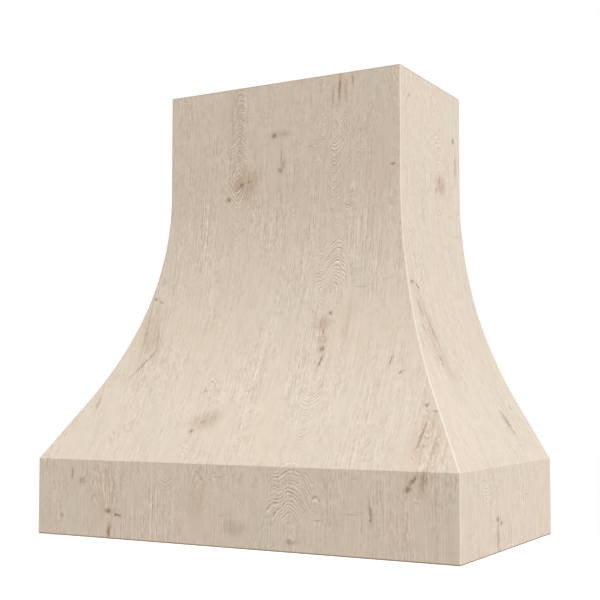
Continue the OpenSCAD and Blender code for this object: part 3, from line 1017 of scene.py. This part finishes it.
def add_edges(graph, colour, position, across, reach, finish):
    """Painted highlight with limed wear at the right corner; painted shade at the left, rim and
    top.
    """
    to_corner = graph.math("SUBTRACT", reach, graph.math("ABSOLUTE", across))
    # The corner line is lime at the right, part sanded wear and part painted highlight, and the
    # grain colour at the left, which is painted shade.
    wear_and_highlight = graph.fade(to_corner, *CORNER_WEAR_AND_HIGHLIGHT)
    at_left = graph.fade(position["X"], 0.01, -0.01)
    corner = graph.mix(at_left, finish.lime, finish.grain)
    colour = graph.mix(wear_and_highlight, colour, corner)
    # Painted shade: the knot colour darkens the bottom rim and the top edge.
    for span in (RIM_PAINTED_SHADE, TOP_PAINTED_SHADE):
        colour = graph.mix(graph.fade(position["Z"], *span), colour, finish.knot)
    return colour


def oak_material(name, finish, face):
    """Limed oak for one face of the cover."""
    material = bpy.data.materials.new(name)
    graph = empty_graph(material)
    coordinates = graph.add("ShaderNodeTexCoord")
    position = graph.add("ShaderNodeSeparateXYZ", coordinates.outputs["Object"]).outputs
    along, reach = (
        graph.add("ShaderNodeAttribute", attribute_name=attribute).outputs["Fac"]
        for attribute in ("along", "reach")
    )
    flat = graph.add("ShaderNodeCombineXYZ", position[face.axis], along).outputs[0]
    wander, upright = once("Wandering Grain", build_wander), once("Upright Pores", build_pores)
    place = graph.group(wander, Place=flat, Seed=face.seed)["Place"]
    pores = graph.group(upright, Place=place, Seed=face.seed)
    ragged = graph.shift(flat, (210, 120, 1), (0.008, 0.008, 0), offset=face.seed)
    cores, smears = add_knots(graph, graph.vector("ADD", flat, ragged), face.knots)
    marks = add_marks(graph, flat, face.marks)
    pale_lines, dark_lines, figure = add_lines(graph, place, face, smears)

    calm = graph.stretch(figure, 0.0, 1.0, 1.0, 0.65)
    rubbed = graph.fade(along, *RUBBED)
    below_belt = graph.fade(along, 0.002, -0.002)
    calm = graph.math("MULTIPLY", calm, graph.math("MAXIMUM", rubbed, below_belt))
    fine = graph.math("MULTIPLY", graph.weighted(0.0, pores, FINE_SHARES), calm)
    soft = graph.weighted(fine, pores, SOFT_SHARES)
    pale = graph.math("MULTIPLY_ADD", pale_lines, PALE_SHARE, soft)
    dark = graph.math("SUBTRACT", graph.math("MULTIPLY", dark_lines, DARK_SHARE), soft)

    colour = oak_tone(graph, pores, smears, finish)
    colour = graph.mix(graph.math("MAXIMUM", pale, 0.0, clamp=True), colour, finish.lime)
    dark = graph.math("MAXIMUM", dark, 0.0, clamp=True)
    colour = graph.mix(dark, colour, finish.grain)
    marks = graph.math("MULTIPLY", marks, graph.stretch(pores["Short"], -0.3, 0.3, 0.3, 1.0))
    colour = graph.mix(graph.math("MULTIPLY", marks, MARK_SHARE), colour, finish.grain)
    colour = graph.mix(graph.math("MULTIPLY", cores, CORE_SHARE), colour, finish.knot)
    colour = add_edges(graph, colour, position, position[face.axis], reach, finish)

    relief = graph.math("ADD", pores["Strokes"], pores["Short"])
    roughness = graph.math("MULTIPLY_ADD", dark, DARK_ROUGHER, finish.oak_roughness)
    graph.coated(colour, roughness, relief, OAK_BUMP)
    return material


# ---- Materials of the frame ----

# Thickness of one layer of the plywood, in metres.
PLY_LAYER = 0.00138

# Strength of the bump, and its distance in metres.
FRAME_BUMP = (0.3, 0.0002)
ZINC_BUMP = (0.2, 0.0001)

PALE_BIRCH = (0.78, 0.66, 0.48)
PLYWOOD_GLUE = (0.16, 0.09, 0.05)
OLIVE_STREAK = (0.47, 0.44, 0.24)
BLUE_ZINC = (0.50, 0.52, 0.56)
YELLOW_ZINC = (0.8, 0.79, 0.74)


def build_local(name):
    """Turns object coordinates so that X runs with the grain, Y across and Z through."""
    tree, graph, given, wanted = new_group(
        name,
        dict.fromkeys(("Place", "Turn", "Start"), VECTOR),
        {"Place": VECTOR},
    )
    turned = graph.add("ShaderNodeMapping", vector_type="TEXTURE")
    graph.fill(turned, Vector=given["Place"], Location=given["Start"], Rotation=given["Turn"])
    graph.put(wanted["Place"], turned.outputs[0])
    return tree


WOOD_OUTPUTS = {"Color": COLOUR, "Height": FLOAT, "Rough": FLOAT}


def build_plywood(name):
    """Birch plywood all through: veneer faces and alternating layers at the cut edges."""
    tree, graph, given, wanted = new_group(
        name,
        {"Place": VECTOR, "Layer": FLOAT, "Face": COLOUR, "Core": COLOUR},
        WOOD_OUTPUTS,
    )
    place, face, core = given["Place"], given["Face"], given["Core"]
    parts = graph.add("ShaderNodeSeparateXYZ", place)
    counted = graph.math("DIVIDE", parts.outputs["Z"], given["Layer"])
    part = graph.math("FRACT", counted)
    cross = graph.math("MODULO", graph.math("ABSOLUTE", graph.math("FLOOR", counted)), 2.0)
    glue = graph.fade(graph.math("ABSOLUTE", graph.math("SUBTRACT", part, 0.5)), 0.42, 0.49)
    long_grain = graph.noise(place, (4, 90, 90), detail=3, rough=0.6, flat=False)
    cross_grain = graph.noise(place, (160, 8, 60), detail=3, rough=0.6, flat=False)
    cloud = graph.noise(place, (3, 14, 14), flat=False)
    fibre = graph.noise(place, (30, 700, 700), detail=1, flat=False)
    veneer = graph.mix(graph.stretch(long_grain, 0.35, 0.7, 0.0, 0.45), face, core)
    veneer = graph.mix(graph.stretch(cloud, 0.4, 0.7, 0.0, 0.3), veneer, PALE_BIRCH)
    crossed = graph.mix(graph.stretch(cross_grain, 0.3, 0.7, 0.25, 0.95), face, core)
    layered = graph.mix(graph.math("MULTIPLY", cross, 0.85), veneer, crossed)
    glued = graph.mix(graph.math("MULTIPLY", glue, 0.6), layered, PLYWOOD_GLUE)
    fine = graph.stretch(fibre, 0.3, 0.7, 0.0, 0.22)
    graph.put(wanted["Color"], graph.mix(fine, glued, core))
    graph.put(wanted["Height"], graph.math("SUBTRACT", long_grain, fibre))
    graph.put(wanted["Rough"], graph.stretch(cross_grain, 0.3, 0.7, 0.58, 0.74))
    return tree


def build_poplar(name):
    """Planed poplar all through: long growth rings, soft streaks and fine fibre."""
    tree, graph, given, wanted = new_group(
        name,
        {"Place": VECTOR, "Early": COLOUR, "Late": COLOUR},
        WOOD_OUTPUTS,
    )
    place = given["Place"]
    bend = graph.shift(place, (1.5, 9, 9), (0.0, 0.03, 0.03), flat=False)
    bent = graph.vector("ADD", place, bend)
    heart = graph.vector("MULTIPLY", graph.vector("ADD", bent, (0, 0.02, 0.07)), (0.03, 1, 1))
    rings = graph.math("MULTIPLY", graph.vector("LENGTH", heart), 260.0)
    late = graph.math("POWER", graph.math("FRACT", rings), 2.2)
    streak = graph.noise(bent, (2.0, 45, 45), detail=3, rough=0.6, flat=False)
    fibre = graph.noise(place, (28, 650, 650), detail=1, flat=False)
    ringed = graph.mix(graph.math("MULTIPLY", late, 0.4), given["Early"], given["Late"])
    streaked = graph.mix(graph.stretch(streak, 0.48, 0.72, 0.0, 0.5), ringed, OLIVE_STREAK)
    fine = graph.stretch(fibre, 0.3, 0.7, 0.0, 0.2)
    graph.put(wanted["Color"], graph.mix(fine, streaked, given["Late"]))
    graph.put(wanted["Height"], graph.math("SUBTRACT", late, fibre))
    graph.put(wanted["Rough"], graph.stretch(streak, 0.3, 0.7, 0.5, 0.68))
    return tree


def solid_material(name, build, group_name, values, turn, start):
    """A solid wood or plywood, cut from the given start and turned to its piece."""
    material = bpy.data.materials.new(name)
    graph = empty_graph(material)
    coordinates = graph.add("ShaderNodeTexCoord")
    local = once("Piece Axes", build_local)
    here = coordinates.outputs["Object"]
    place = graph.group(local, Place=here, Turn=turn, Start=start)["Place"]
    made = graph.group(once(group_name, build), Place=place, **values)
    graph.coated(made["Color"], made["Rough"], made["Height"], FRAME_BUMP)
    return material


RIGHT = math.pi / 2

# Turns that put the grain on X and the thickness on Z, by the axes they have in the object.
GRAIN_TURNS = {
    ("X", "Z"): (0, 0, 0),
    ("X", "Y"): (RIGHT, 0, 0),
    ("Y", "Z"): (0, 0, RIGHT),
    ("Y", "X"): (RIGHT, 0, RIGHT),
    ("Z", "X"): (0, -RIGHT, 0),
    ("Z", "Y"): (RIGHT, -RIGHT, 0),
    ("Z", "RIGHT MITRE"): (0, -RIGHT, math.pi / 4),
    ("Z", "LEFT MITRE"): (0, -RIGHT, -math.pi / 4),
}


def plywood(name, finish, grain, through, start):
    """Birch plywood with its grain and its thickness along the given axes."""
    face, core = shade(finish.birch), shade(finish.birch_core)
    values = {"Face": face, "Core": core, "Layer": PLY_LAYER}
    turn = GRAIN_TURNS[grain, through]
    return solid_material(name, build_plywood, "Birch Plywood", values, turn, start)


def poplar(name, finish, grain, through, start):
    """Poplar with its grain and its thickness along the given axes."""
    values = {"Early": shade(finish.poplar), "Late": shade(finish.poplar_dark)}
    turn = GRAIN_TURNS[grain, through]
    return solid_material(name, build_poplar, "Planed Poplar", values, turn, start)


def zinc_material(finish):
    """Bright zinc plating, a little clouded."""
    material = bpy.data.materials.new("Zinc Plating")
    graph = empty_graph(material)
    place = graph.add("ShaderNodeTexCoord").outputs["Object"]
    cloud = graph.noise(place, (160, 160, 160), detail=3, rough=0.6, flat=False)
    turned = graph.noise(place, (900, 900, 2200), flat=False)
    tone = graph.mix(graph.stretch(cloud, 0.35, 0.7), finish.zinc, BLUE_ZINC)
    tone = graph.mix(graph.stretch(turned, 0.5, 0.8, 0, 0.4), tone, YELLOW_ZINC)
    roughness = graph.stretch(cloud, 0.3, 0.7, 0.28, 0.46)
    graph.coated(tone, roughness, turned, ZINC_BUMP, metallic=1.0)
    return material


# Points of the frame's meshes nearer than this, in metres, are joined. Faces that turn less
# than the first angle become one, and edges that turn more than the second are eased.
JOIN_DISTANCE = 0.00001
FLAT_ANGLE = math.radians(0.5)
EDGE_ANGLE = math.radians(40)


def finish_node(name, material, edge=0.0):
    """Gives a frame node its material, and eased edges where it has any."""
    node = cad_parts[name]
    for slot in node.material_slots:
        slot.material = material
    weld = node.modifiers.new("Join Triangles", "WELD")
    weld.merge_threshold = JOIN_DISTANCE
    if edge:
        flat = node.modifiers.new("Flat Faces", "DECIMATE")
        flat.decimate_type = "DISSOLVE"
        flat.angle_limit = FLAT_ANGLE
        ease = node.modifiers.new("Eased Edges", "BEVEL")
        ease.width = edge
        ease.segments = 2
        ease.limit_method = "ANGLE"
        ease.angle_limit = EDGE_ANGLE
        ease.use_clamp_overlap = True


# ---- Operators ----


def made_once(name, build, *values):
    """The material of that name, made the first time it is asked for."""
    return bpy.data.materials.get(name) or build(name, *values)


def board_materials(context, side):
    """Outer face, cut edge and inner face of the boards of one face."""
    finish = context.scene.hood_cover_finish
    face = FACES[side]
    cut = (finish, "Z", face.through, face.start)
    return (
        made_once(f"Limed Oak {side}", oak_material, finish, face),
        made_once(f"Skin Edge {side}", plywood, *cut),
        made_once(f"Back Veneer {side}", poplar, *cut),
    )


def build_board(context, side, name, node, steps, cut_above, mitres=()):
    """A skin or an apron board of one face, with grooves in the mitres that are given."""
    sizes = context.scene.hood_cover_sizes
    face = FACES[side]
    if face.hand:
        outlines = [side_outline(sizes, step, face.hand) for step in steps]
        outward = Vector((face.hand, 0, 0))
    else:
        outlines = [front_outline(sizes, step) for step in steps]
        outward = Vector((0, -1, 0))
    reaches = [plan_size(sizes, step.flare)[face.axis] for step in steps]
    bm = bmesh.new()
    grow_board(bm, outlines, [step.along for step in steps], reaches)
    for hand in mitres:
        cut_spline_groove(bm, hand)
    sort_faces(bm, outward, cut_above)
    board_object(bm, name, node, board_materials(context, side))


def build_skin(context, side, name, node):
    """The curved skin of one face."""
    steps = skin_steps(context.scene.hood_cover_sizes)
    build_board(context, side, name, node, steps, SKIN_HIGH.z)


def build_apron(context, side, name, node):
    """The apron board of one face."""
    steps = apron_steps(context.scene.hood_cover_sizes)
    just_below_belt = APRON_HIGH.z - MM
    build_board(context, side, name, node, steps, just_below_belt, FACES[side].mitres)


class HOOD_OT_front_skin(bpy.types.Operator):
    """Build the curved front skin with its eased top edge and rounded mitres."""

    bl_idname = "hood.front_skin"
    bl_label = "Front Skin"

    def execute(self, context):
        build_skin(context, "Front", "FrontSkin", "front_skin")
        return {"FINISHED"}


class HOOD_OT_side_skins(bpy.types.Operator):
    """Build the two curved side skins, from the mitre back to the wall."""

    bl_idname = "hood.side_skins"
    bl_label = "Side Skins"

    def execute(self, context):
        build_skin(context, "Right", "RightSkin", "right_skin")
        build_skin(context, "Left", "LeftSkin", "left_skin")
        return {"FINISHED"}


class HOOD_OT_front_apron(bpy.types.Operator):
    """Build the front apron board with its mitres and blind spline grooves."""

    bl_idname = "hood.front_apron"
    bl_label = "Front Apron"

    def execute(self, context):
        build_apron(context, "Front", "FrontApron", "front_apron")
        return {"FINISHED"}


class HOOD_OT_side_aprons(bpy.types.Operator):
    """Build the two side apron boards, each with a mitre and a blind spline groove."""

    bl_idname = "hood.side_aprons"
    bl_label = "Side Aprons"

    def execute(self, context):
        build_apron(context, "Right", "RightApron", "right_apron")
        build_apron(context, "Left", "LeftApron", "left_apron")
        return {"FINISHED"}


# Frame nodes by the axes of their grain and of their thickness.
PLYWOOD_NODES = (
    ("Z", "X", "left_front_rib", "centre_front_rib", "right_front_rib"),
    ("Z", "LEFT MITRE", "left_hip_rib"),
    ("Z", "RIGHT MITRE", "right_hip_rib"),
    ("Z", "Y", "left_side_rib", "right_side_rib", "left_wall_rib", "right_wall_rib"),
    ("X", "Z", "left_front_blocking", "right_front_blocking", "top_board", "front_belt_rail"),
    ("Y", "Z", "left_belt_rail", "right_belt_rail"),
    ("X", "Z", "insert_shelf"),
)

POPLAR_NODES = (
    ("X", "Y", "upper_back_rail", "lower_back_rail", "hood_cleat", "wall_cleat"),
    ("X", "Z", "front_ledger"),
    ("Y", "Z", "left_ledger", "right_ledger"),
    ("Z", "X", "left_corner_block", "right_corner_block"),
    ("Z", "X", "left_back_batten", "right_back_batten"),
    ("Z", "X", "left_mitre_spline", "right_mitre_spline"),
)

SCREW_NODES = (
    "top_board_screws",
    "belt_screws",
    "shelf_screws",
    "ledger_screws",
    "rail_screws",
    "cleat_screws",
    "batten_screws",
)

# The poplar pieces are cut from this many places in the wood, this far apart in metres.
CUT_PLACES = 5
CUT_STEP = Vector((0.013, 0.017, 0.011))


def each_piece(rows):
    """Name, grain and thickness of each frame node, in order."""
    return [(name, grain, through) for grain, through, *names in rows for name in names]


class HOOD_OT_plywood_frame(bpy.types.Operator):
    """Give the ribs, blocking, rails, shelf and top board their birch plywood."""

    bl_idname = "hood.plywood_frame"
    bl_label = "Plywood Frame"

    def execute(self, context):
        finish = context.scene.hood_cover_finish
        sizes = context.scene.hood_cover_sizes
        for name, grain, through in each_piece(PLYWOOD_NODES):
            low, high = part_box(name)
            start = low.copy()
            if "MITRE" in through:
                start = Vector((low.x if low.x > 0 else high.x, high.y, low.z))
            material = plywood(f"Birch Plywood {name}", finish, grain, through, start)
            finish_node(name, material, sizes.frame_edge)
        return {"FINISHED"}


class HOOD_OT_poplar_parts(bpy.types.Operator):
    """Give the cleats, back rails, ledgers, blocks and splines their planed poplar."""

    bl_idname = "hood.poplar_parts"
    bl_label = "Poplar Parts"

    def execute(self, context):
        finish = context.scene.hood_cover_finish
        sizes = context.scene.hood_cover_sizes
        for number, (name, grain, through) in enumerate(each_piece(POPLAR_NODES)):
            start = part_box(name)[0] + CUT_STEP * (number % CUT_PLACES)
            material = poplar(f"Poplar {name}", finish, grain, through, start)
            finish_node(name, material, sizes.frame_edge)
        return {"FINISHED"}


class HOOD_OT_screws(bpy.types.Operator):
    """Give the wood screws their zinc plating."""

    bl_idname = "hood.screws"
    bl_label = "Wood Screws"

    def execute(self, context):
        material = zinc_material(context.scene.hood_cover_finish)
        for name in SCREW_NODES:
            finish_node(name, material)
        return {"FINISHED"}


class HOOD_OT_stage(bpy.types.Operator):
    """Set up the camera, the plain pale floor, the white surroundings and the lamps."""

    bl_idname = "hood.stage"
    bl_label = "Camera, Floor and Lamps"

    def execute(self, context):
        studio = context.scene.hood_cover_studio
        make_camera(context)
        make_floor(studio)
        make_world(context, studio)
        make_lamp("KeyLamp", (-0.19, -0.335, 0.923), studio.key_level, studio.key_colour, 50)
        make_lamp("SideLamp", (1.0, 0.0, 0.15), studio.side_level, studio.side_colour, 60)
        make_lamp("BackLamp", (-0.55, 0.8, 0.1), studio.back_level, studio.ambient_colour, 70)
        context.scene.view_settings.view_transform = "Standard"
        return {"FINISHED"}


# The camera's place in metres, its angle above level and its turn to the left in radians, its
# lens in millimetres and its shift as a share of the picture.
CAMERA_PLACE = (1.15029, -2.26458, -0.47719)
CAMERA_TILT = 0.05626
CAMERA_TURN = 0.51272
CAMERA_LENS = 68.126
CAMERA_SHIFT = 0.05


def make_camera(context):
    """Camera a little above the rim, to the right of the middle, looking slightly up."""
    data = bpy.data.cameras.new("HoodCamera")
    data.sensor_width = 36.0
    data.lens = CAMERA_LENS
    data.shift_y = CAMERA_SHIFT
    data.clip_end = 50.0
    camera = bpy.data.objects.new("HoodCamera", data)
    context.scene.collection.objects.link(camera)
    camera.location = CAMERA_PLACE
    camera.rotation_euler = (RIGHT + CAMERA_TILT, 0, CAMERA_TURN)
    context.scene.camera = camera


FLOOR_RADIUS = 14
FLOOR_SIDES = 96
FLOOR_GLOW = 0.6
WHITE = (1, 1, 1, 1)


def make_floor(studio):
    """A wide round floor below the cover, white to the camera where no shadow falls."""
    bm = bmesh.new()
    bmesh.ops.create_circle(bm, cap_ends=True, radius=FLOOR_RADIUS, segments=FLOOR_SIDES)
    bmesh.ops.translate(bm, verts=bm.verts[:], vec=(0, 0, APRON_LOW.z - studio.floor_drop))
    mesh = bpy.data.meshes.new("Floor")
    bm.to_mesh(mesh)
    bm.free()
    floor = bpy.data.objects.new("Floor", mesh)
    bpy.context.scene.collection.objects.link(floor)
    material = bpy.data.materials.new("Plain Floor")
    graph = empty_graph(material)
    surface = graph.add("ShaderNodeBsdfDiffuse", shade(studio.floor)).outputs[0]
    nothing = graph.add("ShaderNodeEmission", WHITE, 0.0).outputs[0]
    glow = graph.add("ShaderNodeEmission", WHITE, FLOOR_GLOW).outputs[0]
    seen = graph.add("ShaderNodeLightPath").outputs["Is Camera Ray"]
    chosen = graph.add("ShaderNodeMixShader", seen, nothing, glow).outputs[0]
    graph.end_with(graph.add("ShaderNodeAddShader", surface, chosen))
    mesh.materials.append(material)


def make_world(context, studio):
    """White to the camera and in reflections, and a soft level of light from all round."""
    world = bpy.data.worlds.new("Studio")
    context.scene.world = world
    graph = empty_graph(world)
    seen = graph.add("ShaderNodeLightPath").outputs
    white = graph.math("MAXIMUM", seen["Is Camera Ray"], seen["Is Glossy Ray"])
    white = graph.math("MAXIMUM", white, seen["Is Transmission Ray"])
    plain = graph.add("ShaderNodeBackground", WHITE, 1.0).outputs[0]
    tint, level = shade(studio.ambient_colour), studio.ambient_level
    ambient = graph.add("ShaderNodeBackground", tint, level).outputs[0]
    chosen = graph.add("ShaderNodeMixShader", white, ambient, plain)
    graph.end_with(chosen, "ShaderNodeOutputWorld")


LAMP_DISTANCE = 4


def make_lamp(name, towards, level, tint, spread):
    """A broad soft lamp in the given direction: level 1 lights a facing surface as written."""
    data = bpy.data.lights.new(name, "SUN")
    data.energy = math.pi * level
    data.color = tint
    data.angle = math.radians(spread)
    lamp = bpy.data.objects.new(name, data)
    bpy.context.scene.collection.objects.link(lamp)
    direction = Vector(towards).normalized()
    lamp.location = direction * LAMP_DISTANCE
    lamp.rotation_mode = "QUATERNION"
    lamp.rotation_quaternion = direction.to_track_quat("Z", "Y")


# ---- Panel and registration ----

STEPS = (
    HOOD_OT_stage,
    HOOD_OT_front_skin,
    HOOD_OT_side_skins,
    HOOD_OT_front_apron,
    HOOD_OT_side_aprons,
    HOOD_OT_plywood_frame,
    HOOD_OT_poplar_parts,
    HOOD_OT_screws,
)


class HOOD_PT_cover(bpy.types.Panel):
    """The hood cover's steps, in order."""

    bl_idname = "HOOD_PT_cover"
    bl_label = "Hood Cover"
    bl_space_type = "VIEW_3D"
    bl_region_type = "UI"
    bl_category = "Hood Cover"

    def draw(self, context):
        for step in STEPS:
            self.layout.operator(step.bl_idname)


CLASSES = (HoodCoverSizes, HoodCoverFinish, HoodCoverStudio, *STEPS, HOOD_PT_cover)


def register():
    for cls in CLASSES:
        bpy.utils.register_class(cls)
    bpy.types.Scene.hood_cover_sizes = PointerProperty(type=HoodCoverSizes)
    bpy.types.Scene.hood_cover_finish = PointerProperty(type=HoodCoverFinish)
    bpy.types.Scene.hood_cover_studio = PointerProperty(type=HoodCoverStudio)


def unregister():
    del bpy.types.Scene.hood_cover_studio
    del bpy.types.Scene.hood_cover_finish
    del bpy.types.Scene.hood_cover_sizes
    for cls in reversed(CLASSES):
        bpy.utils.unregister_class(cls)


def main():
    register()
    for step in STEPS:
        category, name = step.bl_idname.split(".")
        getattr(getattr(bpy.ops, category), name)()


if __name__ == "__main__":
    main()
